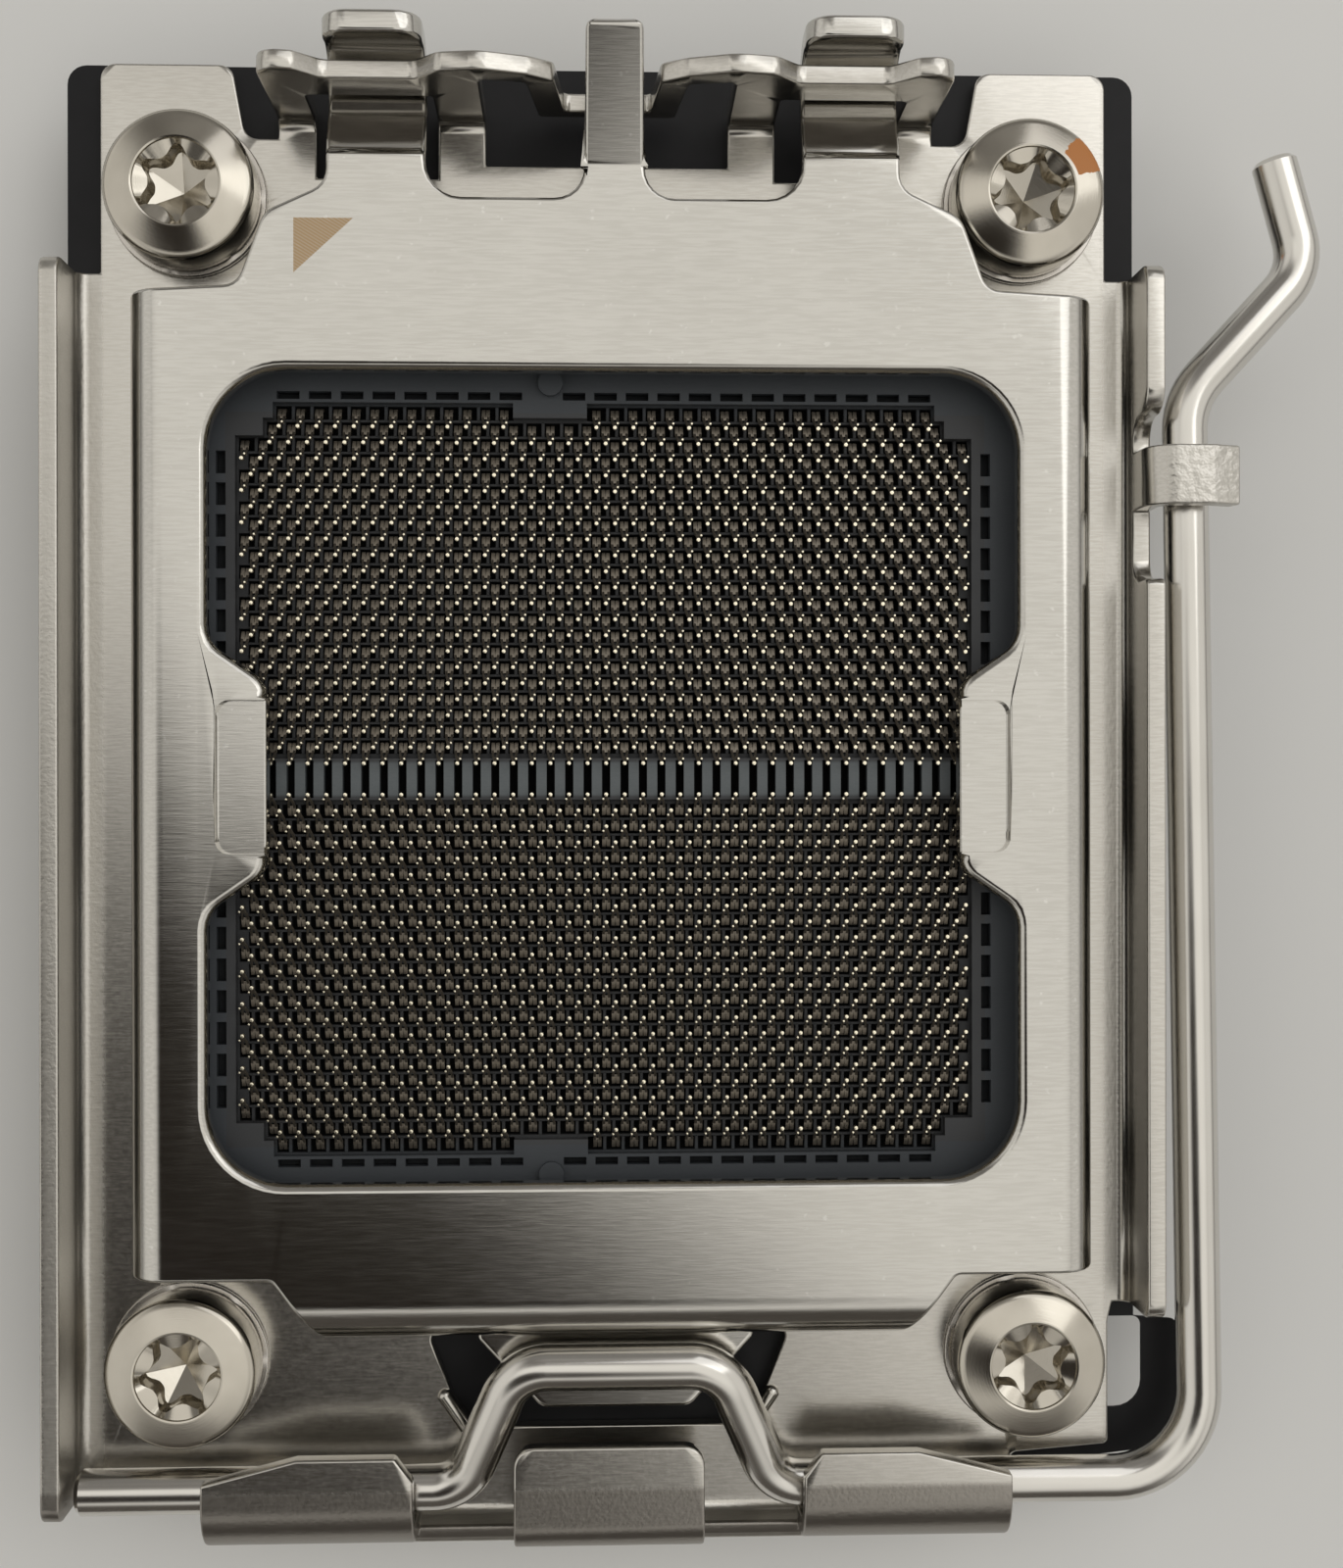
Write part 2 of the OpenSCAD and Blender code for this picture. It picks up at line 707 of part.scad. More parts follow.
module clamp_screws() {
  color("tan")
    at_screws()
      clamp_screw();
}
module screw_washers() {
  color("silver")
    at_screws()
      translate([0, 0, washer_z])
        difference() {
          cylinder(d = washer_d, h = washer_t);
          translate([0, 0, -washer_t])
            cylinder(d = screw_d + 2 * hole_gap, h = 3 * washer_t);
        }
}

// Contact housing
cavity_in = 0.5;
cavity_out = 1.2;
end_gap = 0.1;
key_x0 = -4.7;
key_x1 = -0.95;
key_gap = 0.3;
key_half = 0.75;
field_edge = 0.4;
stair_x = [1.4, 1.9];
stair_y = [1.7, 0.8];
comb_half = 1.05;
comb_top = 2.75;
comb_end = 0.6;
comb_slot = 1.9;
comb_slot_w = 0.42;
comb_root = 0.3;
slot_l = 1.15;
row_slot_w = 0.4;
side_slot_w = 0.5;
slot_pitch = 1.605;
slot_n = 10;
slot_left_out = -2;
slot_row = housing_w / 2 - 2.25;
slot_depth = 0.8;
nub_x = -2.8;
nub_y = housing_w / 2 - 1.65;
nub_d = 1.25;
nub_h = 0.4;
foot_d = 2;
foot_at = housing_w / 2 - 2;
housing_r = 1;
root = 0.2;

function row_count(r) = row_n + r % 2;
// Contacts left out at each end of the two outermost rows
function row_skip(r) = max(0, r - rows + 3);
function row_x(r, i) = (i - (row_count(r) - 1) / 2) * pitch_x;
function tip_y(r) = first_row + r * pitch_y;
function keyed(r, x) = r == rows - 1 && x > key_x0 && x < key_x1;

module cavity(r, x0, x1) {
  reach = contact_w / 2 + end_gap;
  box2(x0 - reach, x1 + reach, tip_y(r) + cavity_in, tip_y(r) + cavity_out);
}
module cavities() {
  for (r = [0 : rows - 2])
    cavity(r, row_x(r, row_skip(r)), row_x(r, row_count(r) - 1 - row_skip(r)));
  outer = rows - 1;
  cavity(outer, row_x(outer, row_skip(outer)), key_x0 - key_gap);
  cavity(outer, key_x1 + key_gap, row_x(outer, row_count(outer) - 1 - row_skip(outer)));
}
module field_outline() {
  edge_x = row_x(1, row_n) + field_edge;
  edge_y = tip_y(rows - 1) + cavity_out + end_gap;
  difference() {
    union() {
      box2(-edge_x, edge_x, -edge_y + stair_y[0], edge_y - stair_y[0]);
      box2(-edge_x + stair_x[0], edge_x - stair_x[0], -edge_y + stair_y[1], edge_y - stair_y[1]);
      box2(-edge_x + stair_x[1], edge_x - stair_x[1], -edge_y, edge_y);
    }
    for (side = [-1, 1])
      translate([0, side * edge_y])
        box2(key_x0, key_x1, -key_half, key_half);
  }
}
module edge_slots() {
  for (side = [-1, 1]) {
    for (k = [-slot_n : slot_n])
      if (k != slot_left_out)
        translate([k * slot_pitch, side * slot_row])
          square([slot_l, row_slot_w], center = true);
    for (k = [-slot_n : slot_n])
      translate([side * slot_row, k * slot_pitch])
        square([side_slot_w, slot_l], center = true);
  }
}
module comb_slots() {
  for (i = [0 : row_n - 1])
    translate([row_x(0, i), 0])
      square([comb_slot_w, comb_slot], center = true);
}
module comb() {
  edge_x = row_x(0, row_n - 1) + comb_end;
  difference() {
    box2(-edge_x, edge_x, -comb_half, comb_half);
    comb_slots();
  }
}
module housing_body() {
  corner = housing_w / 2;
  difference() {
    translate([0, 0, housing_foot])
      linear_extrude(rim_top - housing_foot)
        polygon(rounded([
          [-corner, -corner, housing_r], [-corner, corner, housing_r],
          [corner, corner, housing_r], [corner, -corner, housing_r]]));
    translate([0, 0, cavity_top])
      linear_extrude(rim_top)
        field_outline();
    translate([0, 0, rim_top - slot_depth])
      linear_extrude(rim_top)
        edge_slots();
    translate([0, 0, cavity_floor])
      linear_extrude(rim_top) {
        comb_slots();
        cavities();
        mirror([0, 1])
          cavities();
      }
  }
}
module contact_housing() {
  color([0.12, 0.13, 0.15])
    translate([field_x, field_y, 0]) {
      housing_body();
      translate([0, 0, cavity_top - comb_root])
        linear_extrude(comb_top - cavity_top + comb_root)
          comb();
      for (side = [-1, 1])
        translate([nub_x, side * nub_y, rim_top - root])
          cylinder(d = nub_d, h = nub_h + root);
      for (x = [-1, 1], y = [-1, 1])
        translate([x * foot_at, y * foot_at, 0])
          cylinder(d = foot_d, h = housing_foot + root);
    }
}

// Spring contacts, two rows to a group, leaning towards the middle
leaf_t = 0.2;
lean = 0.95;
knee_h = 0.35;
tip_t = 0.16;

// Leaf standing in its cavity, bent at the knee towards the tip
module contact() {
  knee_z = cavity_floor + knee_h;
  translate([-contact_w / 2, 0, 0])
    rotate([90, 0, 90])
      linear_extrude(contact_w)
        polygon([
          [lean - leaf_t / 2, cavity_floor], [lean + leaf_t / 2, cavity_floor],
          [lean + leaf_t / 2, knee_z + leaf_t / 4], [tip_t / 2, tip_z],
          [-tip_t / 2, tip_z], [lean - leaf_t / 2, knee_z - leaf_t / 4]]);
}
module contact_rows(side, group) {
  color("goldenrod")
    translate([field_x, field_y, 0])
      mirror([0, side < 0 ? 1 : 0, 0])
        for (r = [2 * group - 2, 2 * group - 1])
          for (i = [row_skip(r) : row_count(r) - 1 - row_skip(r)])
            if (!keyed(r, row_x(r, i)))
              translate([row_x(r, i), tip_y(r), 0])
                contact();
}
module contacts_rear_1() {
  contact_rows(1, 1);
}
module contacts_rear_2() {
  contact_rows(1, 2);
}
module contacts_rear_3() {
  contact_rows(1, 3);
}
module contacts_rear_4() {
  contact_rows(1, 4);
}
module contacts_rear_5() {
  contact_rows(1, 5);
}
module contacts_rear_6() {
  contact_rows(1, 6);
}
module contacts_rear_7() {
  contact_rows(1, 7);
}
module contacts_rear_8() {
  contact_rows(1, 8);
}
module contacts_rear_9() {
  contact_rows(1, 9);
}
module contacts_rear_10() {
  contact_rows(1, 10);
}
module contacts_rear_11() {
  contact_rows(1, 11);
}
module contacts_front_1() {
  contact_rows(-1, 1);
}
module contacts_front_2() {
  contact_rows(-1, 2);
}
module contacts_front_3() {
  contact_rows(-1, 3);
}
module contacts_front_4() {
  contact_rows(-1, 4);
}
module contacts_front_5() {
  contact_rows(-1, 5);
}
module contacts_front_6() {
  contact_rows(-1, 6);
}
module contacts_front_7() {
  contact_rows(-1, 7);
}
module contacts_front_8() {
  contact_rows(-1, 8);
}
module contacts_front_9() {
  contact_rows(-1, 9);
}
module contacts_front_10() {
  contact_rows(-1, 10);
}
module contacts_front_11() {
  contact_rows(-1, 11);
}

stiffener_frame();
insulating_film();
load_plate();
load_lever();
clamp_screws();
screw_washers();
contact_housing();
contacts_rear_1();
contacts_rear_2();
contacts_rear_3();
contacts_rear_4();
contacts_rear_5();
contacts_rear_6();
contacts_rear_7();
contacts_rear_8();
contacts_rear_9();
contacts_rear_10();
contacts_rear_11();
contacts_front_1();
contacts_front_2();
contacts_front_3();
contacts_front_4();
contacts_front_5();
contacts_front_6();
contacts_front_7();
contacts_front_8();
contacts_front_9();
contacts_front_10();
contacts_front_11();
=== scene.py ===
import math
import bmesh
import bpy
from mathutils import Matrix, Vector


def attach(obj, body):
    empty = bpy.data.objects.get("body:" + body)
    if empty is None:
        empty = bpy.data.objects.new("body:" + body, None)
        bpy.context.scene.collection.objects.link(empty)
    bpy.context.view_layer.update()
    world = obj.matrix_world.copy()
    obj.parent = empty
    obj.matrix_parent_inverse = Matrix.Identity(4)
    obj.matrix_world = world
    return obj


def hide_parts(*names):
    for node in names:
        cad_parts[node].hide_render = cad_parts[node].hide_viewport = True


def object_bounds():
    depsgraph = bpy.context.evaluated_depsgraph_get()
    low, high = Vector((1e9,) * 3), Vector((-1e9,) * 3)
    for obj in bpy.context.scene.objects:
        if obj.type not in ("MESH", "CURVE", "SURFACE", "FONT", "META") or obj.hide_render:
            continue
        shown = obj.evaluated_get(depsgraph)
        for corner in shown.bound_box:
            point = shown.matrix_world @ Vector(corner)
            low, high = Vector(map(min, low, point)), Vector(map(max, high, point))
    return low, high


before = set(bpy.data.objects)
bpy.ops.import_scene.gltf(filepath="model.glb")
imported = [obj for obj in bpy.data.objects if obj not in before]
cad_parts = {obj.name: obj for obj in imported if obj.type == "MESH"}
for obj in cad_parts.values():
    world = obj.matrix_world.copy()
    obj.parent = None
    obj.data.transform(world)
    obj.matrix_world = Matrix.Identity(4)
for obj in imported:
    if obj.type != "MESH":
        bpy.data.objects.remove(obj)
cad_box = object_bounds()
MM = 0.001

# Sizes shared with the solids, in millimetres
SCREW_X, SCREW_Y = 21.5, 29.8
SHAFT = Vector((0, -36, 2.75))
WIRE_D = 2.3
PLATE_X, PLATE_Y, PLATE_TOP = 0.35, 0.1, 5.6
FIELD_X = -0.1
PITCH_X, PITCH_Y = 0.94, 0.81
FIRST_ROW = 0.79
ROWS, ROW_N = 22, 39
KEY = (-4.7, -0.95)
CAVITY = (0.5, 1.2)
CAVITY_FLOOR, CAVITY_TOP = 1.7, 2.35

# Widths of the eased edges, in millimetres
RIM_EASE, FLANGE_EASE, SHEET_EASE, WASHER_EASE = 0.42, 0.2, 0.12, 0.07


class Sock:
    """An output of a node. Arithmetic on it adds Math nodes to the same finish."""

    def __init__(self, finish, out):
        self.finish, self.out = finish, out

    def __add__(self, other):
        return self.finish.maths("ADD", self, other)

    __radd__ = __add__

    def __sub__(self, other):
        return self.finish.maths("SUBTRACT", self, other)

    def __rsub__(self, other):
        return self.finish.maths("SUBTRACT", other, self)

    def __mul__(self, other):
        return self.finish.maths("MULTIPLY", self, other)

    __rmul__ = __mul__

    def __truediv__(self, other):
        return self.finish.maths("DIVIDE", self, other)

    def __gt__(self, other):
        return self.finish.maths("GREATER_THAN", self, other)

    def __lt__(self, other):
        return self.finish.maths("LESS_THAN", self, other)

    def __abs__(self):
        return self.finish.maths("ABSOLUTE", self)

    def ramp(self, low, high):
        """Rises smoothly from 0 at low to 1 at high."""
        return Sock(self.finish, self.finish.node(
            "ShaderNodeMapRange", {"interpolation_type": "SMOOTHSTEP"},
            {"Value": self, "From Min": low, "From Max": high}).outputs[0])


class Finish:
    """The node tree of one finish, or of the light dome."""

    def __init__(self, name, tree=None):
        if tree is None:
            self.material = bpy.data.materials.new(name)
            self.material.use_nodes = True
            tree = self.material.node_tree
        self.tree = tree
        tree.nodes.clear()

    def node(self, kind, settings=None, inputs=None):
        made = self.tree.nodes.new(kind)
        for key, value in (settings or {}).items():
            setattr(made, key, value)
        for key, value in (inputs or {}).items():
            if isinstance(value, Sock):
                self.tree.links.new(value.out, made.inputs[key])
            else:
                made.inputs[key].default_value = value
        return made

    def maths(self, operation, *values):
        return Sock(self, self.node("ShaderNodeMath", {"operation": operation}, dict(enumerate(values))).outputs[0])

    def place(self):
        """The point on the surface as x, y and z in millimetres."""
        where = Sock(self, self.node("ShaderNodeTexCoord").outputs["Object"])
        parts = self.node("ShaderNodeSeparateXYZ", inputs={0: where})
        return [Sock(self, out) * 1000 for out in parts.outputs]

    def along(self):
        """The piece's own map: along it and round it."""
        where = Sock(self, self.node("ShaderNodeTexCoord").outputs["UV"])
        parts = self.node("ShaderNodeSeparateXYZ", inputs={0: where})
        return [Sock(self, out) for out in parts.outputs][:2]

    def noise(self, point, detail=2.0, roughness=0.5):
        joined = Sock(self, self.node("ShaderNodeCombineXYZ", inputs=dict(enumerate(point))).outputs[0])
        return Sock(self, self.node("ShaderNodeTexNoise", inputs={
            "Vector": joined, "Scale": 1.0, "Detail": detail, "Roughness": roughness}).outputs[0])

    def mix(self, share, first, second):
        first, second = ((*c, 1) if isinstance(c, tuple) else c for c in (first, second))
        return Sock(self, self.node("ShaderNodeMix", {"data_type": "RGBA"}, {
            0: share, 6: first, 7: second}).outputs[2])

    def bump(self, height, strength, depth_mm):
        return Sock(self, self.node("ShaderNodeBump", inputs={
            "Height": height, "Strength": strength, "Distance": depth_mm * MM}).outputs[0])

    def surface(self, **inputs):
        named = {key.replace("_", " "): value for key, value in inputs.items()}
        shader = self.node("ShaderNodeBsdfPrincipled", inputs=named)
        self.node("ShaderNodeOutputMaterial", inputs={"Surface": Sock(self, shader.outputs[0])})
        return self.material


def plate_steel():
    """Satin sheet with a fine grain from side to side and a hatched pin-one triangle."""
    f = Finish("plate_steel")
    x, y, z = f.place()
    grain = f.noise((x * 0.7, y * 9, z * 9), 3.0)
    fine = f.noise((x * 1.4, y * 42, z * 42))
    cloud = f.noise((x * 0.16, y * 0.16, z * 0.16), 3.0)
    specks = f.noise((x * 2.2, y * 2.2, z * 2.2), 4.0).ramp(0.66, 0.74)
    left, top, wide, tall = -15.46, 27.66, 2.92, 2.7
    inside = ((x - left) / wide + (top - y) / tall < 1) * (x > left) * (y < top) * (z > PLATE_TOP - 0.2)
    hatch = f.maths("SINE", (x * 0.6 + y) * 38).ramp(-0.6, 0.6)
    mark = inside * (0.7 + 0.3 * hatch)
    tone = cloud * 0.6 + grain.ramp(0.35, 0.65) * 0.4
    steel = f.mix(tone, (0.51, 0.495, 0.46), (0.62, 0.605, 0.57))
    worn = f.mix(specks * 0.5, steel, (0.72, 0.71, 0.68))
    return f.surface(
        Base_Color=f.mix(mark, worn, (0.42, 0.29, 0.16)), Metallic=1.0 - mark * 0.35,
        Roughness=0.08 + 0.07 * grain + 0.03 * cloud + mark * 0.25,
        Normal=f.bump(grain * 0.7 + fine * 0.3, 0.14, 0.02))


def frame_steel():
    """Plated sheet with a grain from side to side, rough where it was bent, hammered at the lever hook, and with
    painted shade darkening its front faces.
    """
    f = Finish("frame_steel")
    x, y, z = f.place()
    grain = f.noise((x * 1.1, y * 9, z * 9), 3.0)
    mottle = f.noise((x * 5, y * 5, z * 5), 3.0)
    cloud = f.noise((x * 0.12, y * 0.12, z * 0.12), 2.0)
    left_bend = (1 - x.ramp(-26.9, -26.3)) * x.ramp(-28.2, -27.6)
    front_bend = 1 - y.ramp(-38.0, -37.2)
    hook = x.ramp(27.9, 28.4) * (y > 13) * (y < 17.6)
    hammered = f.noise((x * 2.2, y * 2.2, z * 2.2), 2.0) * hook
    root = abs(x).ramp(25.7, 26.1) * (1 - abs(x).ramp(26.5, 26.8))
    # Painted shade: the front faces above the base are painted dark; the same mask also makes them rougher
    front = (1 - y.ramp(-35.5, -35.1)) * (z > 2.0)
    rough = f.maths("MAXIMUM", front_bend, f.maths("MAXIMUM", front * 0.7, hook))
    rough = f.maths("MAXIMUM", left_bend + root * 0.8, rough)
    tone = cloud * 0.4 + mottle * 0.2 + grain.ramp(0.35, 0.65) * 0.4
    steel = f.mix(tone, (0.50, 0.48, 0.44), (0.62, 0.60, 0.56))
    # The base colour mixes the front faces toward dark brown as painted shade
    return f.surface(
        Base_Color=f.mix(front * 0.7, steel, (0.20, 0.18, 0.16)), Metallic=1.0,
        Roughness=0.15 + 0.08 * mottle + 0.06 * grain + 0.12 * rough,
        Normal=f.bump(grain * 0.4 + mottle * (0.3 + 3.2 * rough) + hammered * 25, 0.2, 0.02))


def lever_wire():
    """Bright drawn wire with faint lines along it."""
    f = Finish("lever_wire")
    run, turn = f.along()
    drawn = f.noise((run * 0.25, turn * 40, 0.0), 3.0)
    cloud = f.noise((run * 0.2, turn * 3, 0.0))
    return f.surface(
        Base_Color=f.mix(cloud, (0.62, 0.60, 0.56), (0.73, 0.71, 0.675)), Metallic=1.0,
        Roughness=0.12 + 0.12 * drawn, Normal=f.bump(drawn, 0.08, 0.02))


def screw_steel():
    """Bright plated heads, turned in rings, with a dab of paint on one of them."""
    f = Finish("screw_steel")
    x, y, z = f.place()
    dx, dy = abs(x) - SCREW_X, abs(y) - SCREW_Y
    radius = f.maths("SQRT", dx * dx + dy * dy)
    rings = f.noise((radius * 26, z * 12, 0.0), 2.0)
    cloud = f.noise((x * 0.5, y * 0.5, z * 0.5), 3.0)
    mottle = f.noise((x * 7, y * 7, z * 7), 3.0)
    turn = f.maths("ARCTAN2", y - SCREW_Y, x - SCREW_X)
    edge = f.noise((x * 4, y * 4, z * 4)) * 0.12
    dab = (turn + edge > 0.36) * (turn + edge < 0.92) * (radius > 2.45) * (radius < 3.9) * (z > 1.9)
    dab = dab * (x > 0) * (y > 0)
    plated = f.mix(cloud, (0.46, 0.43, 0.37), (0.60, 0.565, 0.50))
    return f.surface(
        Base_Color=f.mix(dab, plated, (0.50, 0.19, 0.045)), Metallic=1.0 - dab,
        Roughness=0.09 + 0.07 * rings + 0.08 * cloud + dab * 0.3,
        Normal=f.bump(rings + 0.6 * mottle, 0.12, 0.015))


def washer_steel():
    """Dull plated rings."""
    f = Finish("washer_steel")
    x, y, z = f.place()
    cloud = f.noise((x * 1.5, y * 1.5, z * 1.5), 3.0)
    return f.surface(
        Base_Color=f.mix(cloud, (0.50, 0.47, 0.43), (0.64, 0.61, 0.57)), Metallic=1.0,
        Roughness=0.20 + 0.14 * cloud, Normal=f.bump(cloud, 0.08, 0.02))


def black_film():
    """Matt black sheet with a little grit."""
    f = Finish("black_film")
    x, y, z = f.place()
    cloud = f.noise((x * 0.5, y * 0.5, z * 0.5), 3.0)
    grit = f.noise((x * 9, y * 9, z * 9))
    return f.surface(
        Base_Color=f.mix(cloud, (0.006, 0.006, 0.007), (0.014, 0.014, 0.016)),
        Roughness=0.42 + 0.15 * grit, Specular_IOR_Level=0.25, Normal=f.bump(grit, 0.10, 0.02))


def housing_plastic():
    """Dark blue-grey moulding with a fine fibre speckle, painted near black in the cavities as painted shade and
    painted paler at the middle comb as a painted sheen.
    """
    f = Finish("housing_plastic")
    x, y, z = f.place()
    fibre = f.noise((x * 3, y * 12, z * 12), 3.0)
    cloud = f.noise((x * 0.3, y * 0.3, z * 0.3), 2.0)
    # Painted shade: near black at the cavity floors, rising to the moulding's tone above the cavity tops; the same
    # ramp also sets the roughness
    cavity_shade_ramp = z.ramp(CAVITY_FLOOR, CAVITY_TOP + 0.4)
    tone = f.mix(cloud * 0.5 + fibre * 0.5, (0.040, 0.046, 0.054), (0.068, 0.075, 0.084))
    field = (abs(x) < 19.3) * (abs(y) < 18.6)
    tone = f.mix(field * 0.35, tone, (0.052, 0.046, 0.042))
    # Painted sheen: the middle comb is painted paler than the rest of the moulding
    comb = (1 - abs(y).ramp(0.75, 0.95)) * (abs(x) < 19.5)
    tone = f.mix(comb * 0.7, tone, f.mix(fibre, (0.12, 0.14, 0.15), (0.17, 0.19, 0.20)))
    return f.surface(
        Base_Color=f.mix(cavity_shade_ramp, (0.003, 0.003, 0.003), tone), Roughness=0.95 - cavity_shade_ramp * (0.5 - 0.16 * fibre),
        Specular_IOR_Level=0.35, Normal=f.bump(fibre, 0.15, 0.015))


def contact_gold():
    """Brownish leaves painted darker than their plated metal as painted shade, with pale gold tips."""
    f = Finish("contact_gold")
    x, y, z = f.place()
    cloud = f.noise((x * 6, y * 6, z * 6), 2.0)
    gilt = (z + cloud * 0.04).ramp(3.24, 3.30)
    # Painted shade: the leaves are painted a dark brown, well below the tone of their plated metal
    shade_darkened_legs = f.mix(cloud, (0.19, 0.165, 0.135), (0.33, 0.295, 0.245))
    return f.surface(
        Base_Color=f.mix(gilt, shade_darkened_legs, (1.0, 0.93, 0.74)), Metallic=0.8 + 0.2 * gilt,
        Roughness=0.34 - 0.16 * gilt + 0.10 * cloud, Normal=f.bump(cloud, 0.05, 0.01))


def solder_tin():
    """Grey satin balls."""
    f = Finish("solder_tin")
    x, y, z = f.place()
    cloud = f.noise((x * 7, y * 7, z * 7), 2.0)
    return f.surface(
        Base_Color=f.mix(cloud, (0.46, 0.46, 0.47), (0.62, 0.62, 0.63)), Metallic=1.0,
        Roughness=0.28 + 0.18 * cloud, Normal=f.bump(cloud, 0.10, 0.01))


FINISH = {make.__name__: make() for make in (
    plate_steel, frame_steel, lever_wire, screw_steel, washer_steel, black_film, housing_plastic, contact_gold,
    solder_tin)}


def add(name, mesh):
    """A new object in the scene."""
    piece = bpy.data.objects.new(name, mesh)
    bpy.context.scene.collection.objects.link(piece)
    return piece


def bake(piece):
    """Turns a piece's modifiers into its plain mesh."""
    bpy.context.view_layer.update()
    seen = piece.evaluated_get(bpy.context.evaluated_depsgraph_get())
    mesh = bpy.data.meshes.new_from_object(seen)
    piece.modifiers.clear()
    piece.data = mesh
    return piece


def hand_over(piece, finish, slot, body, *nodes):
    """Gives a finished piece its body and the nodes that it stands for. The slot is not used."""
    if not piece.data.materials:
        piece.data.materials.append(FINISH[finish])
    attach(piece, body)
    if nodes:
        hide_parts(*nodes)
    return piece


def mesh_from(name, points, faces):
    """A mesh from points in millimetres."""
    mesh = bpy.data.meshes.new(name)
    mesh.from_pydata([Vector(p) * MM for p in points], [], faces)
    mesh.validate()
    return mesh


def tube_faces(rings, sides, first=0):
    """Four-sided faces between each ring of points and the next."""
    return [[first + n * sides + k, first + n * sides + (k + 1) % sides,
             first + (n + 1) * sides + (k + 1) % sides, first + (n + 1) * sides + k]
            for n in range(rings - 1) for k in range(sides)]


def eased(name, node, body, finish, width_at, widest, segments):
    """A node's own shape with its sharp edges eased by a width that depends on the place."""
    bm = bmesh.new()
    bm.from_mesh(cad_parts[node].data)
    bmesh.ops.remove_doubles(bm, verts=bm.verts, dist=1e-6)
    bmesh.ops.dissolve_degenerate(bm, edges=bm.edges, dist=2e-6)
    weight = bm.edges.layers.float.new("bevel_weight_edge")

    def width_of(edge):
        return width_at(*((edge.verts[0].co + edge.verts[1].co) / (2 * MM)))

    for edge in bm.edges:
        if edge.calc_face_angle(0) > math.radians(40):
            edge[weight] = width_of(edge) / widest
    mesh = bpy.data.meshes.new(name)
    bm.to_mesh(mesh)
    bm.free()
    piece = add(name, mesh)
    bevel = piece.modifiers.new("ease", "BEVEL")
    bevel.width = widest * MM
    bevel.segments = segments
    bevel.limit_method = "WEIGHT"
    bevel.use_clamp_overlap = False
    bevel.loop_slide = False
    bevel.miter_outer = "MITER_SHARP"
    bake(piece)
    piece.data.materials.clear()
    piece.data.shade_smooth()
    piece.data.set_sharp_from_angle(angle=math.radians(38))
    bm = bmesh.new()
    bm.from_mesh(piece.data)
    for edge in bm.edges:
        if edge.calc_face_angle(0) > math.radians(8) and not width_of(edge):
            edge.smooth = False
    bm.to_mesh(piece.data)
    bm.free()
    flat = piece.modifiers.new("flat", "WEIGHTED_NORMAL")
    flat.keep_sharp = True
    flat.weight = 100
    bake(piece)
    return hand_over(piece, finish, finish, body, node)


# Camera at the photograph's angle
LENS, SENSOR = 45.0, 36.0
EYE = (-0.00047, -0.000163, 0.102754)
EYE_AXES = ((0.999313, -0.001471, 0.03703), (0.001509, 0.999998, -0.000996), (-0.037028, 0.001051, 0.999314))
camera = bpy.data.objects.new("camera", bpy.data.cameras.new("camera"))
camera.data.lens, camera.data.sensor_width = LENS, SENSOR
camera.data.clip_start = 0.002
camera.matrix_world = Matrix.Translation(EYE) @ Matrix(EYE_AXES).transposed().to_4x4()
bpy.context.scene.collection.objects.link(camera)
bpy.context.scene.camera = camera


# Bent sheet pieces
def plate_ease(x, y, z):
    """Widest at the window's upper edge, narrow below it and at the pads, none where a pad's step ends."""
    x, y = abs(x - PLATE_X), abs(y - PLATE_Y)
    if x > 20.4 or y > 20.4:
        return FLANGE_EASE
    if x < 19.9 and y < 4.0 and (x > 18.0 and y > 2.5 or y > 3.3):
        return 0.0
    return SHEET_EASE if z < PLATE_TOP - 0.05 or x < 19.9 and y < 3.9 else RIM_EASE


def frame_ease(x, y, z):
    """Everywhere but at the rolled lips of the front window."""
    return 0.0 if 6 < abs(x) < 10 and -35 < y < -30.5 else SHEET_EASE


eased("stiffener_sheet", "stiffener_frame", "base", "frame_steel", frame_ease, SHEET_EASE, 2)
eased("clamping_plate", "load_plate", "load_plate", "plate_steel", plate_ease, RIM_EASE, 4)
eased("washer_rings", "screw_washers", "base", "washer_steel", lambda x, y, z: WASHER_EASE, WASHER_EASE, 2)
for node, finish in (("insulating_film", "black_film"), ("contact_housing", "housing_plastic")):
    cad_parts[node].data.materials.clear()
    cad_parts[node].data.materials.append(FINISH[finish])


def rounded_path(corners, radii, step=math.radians(7)):
    """Points along straight runs joined by arcs."""
    points = [corners[0]]
    for before, at, after, radius in zip(corners, corners[1:], corners[2:], radii):
        u, v = (at - before).normalized(), (after - at).normalized()
        angle = u.angle(v)
        inward = (v - u * u.dot(v)).normalized()
        start = at - u * radius * math.tan(angle / 2)
        centre = start + inward * radius
        count = max(3, math.ceil(angle / step))
        points += [centre - inward * radius * math.cos(angle * k / count) + u * radius * math.sin(angle * k / count)
                   for k in range(count + 1)]
    return points + [corners[-1]]


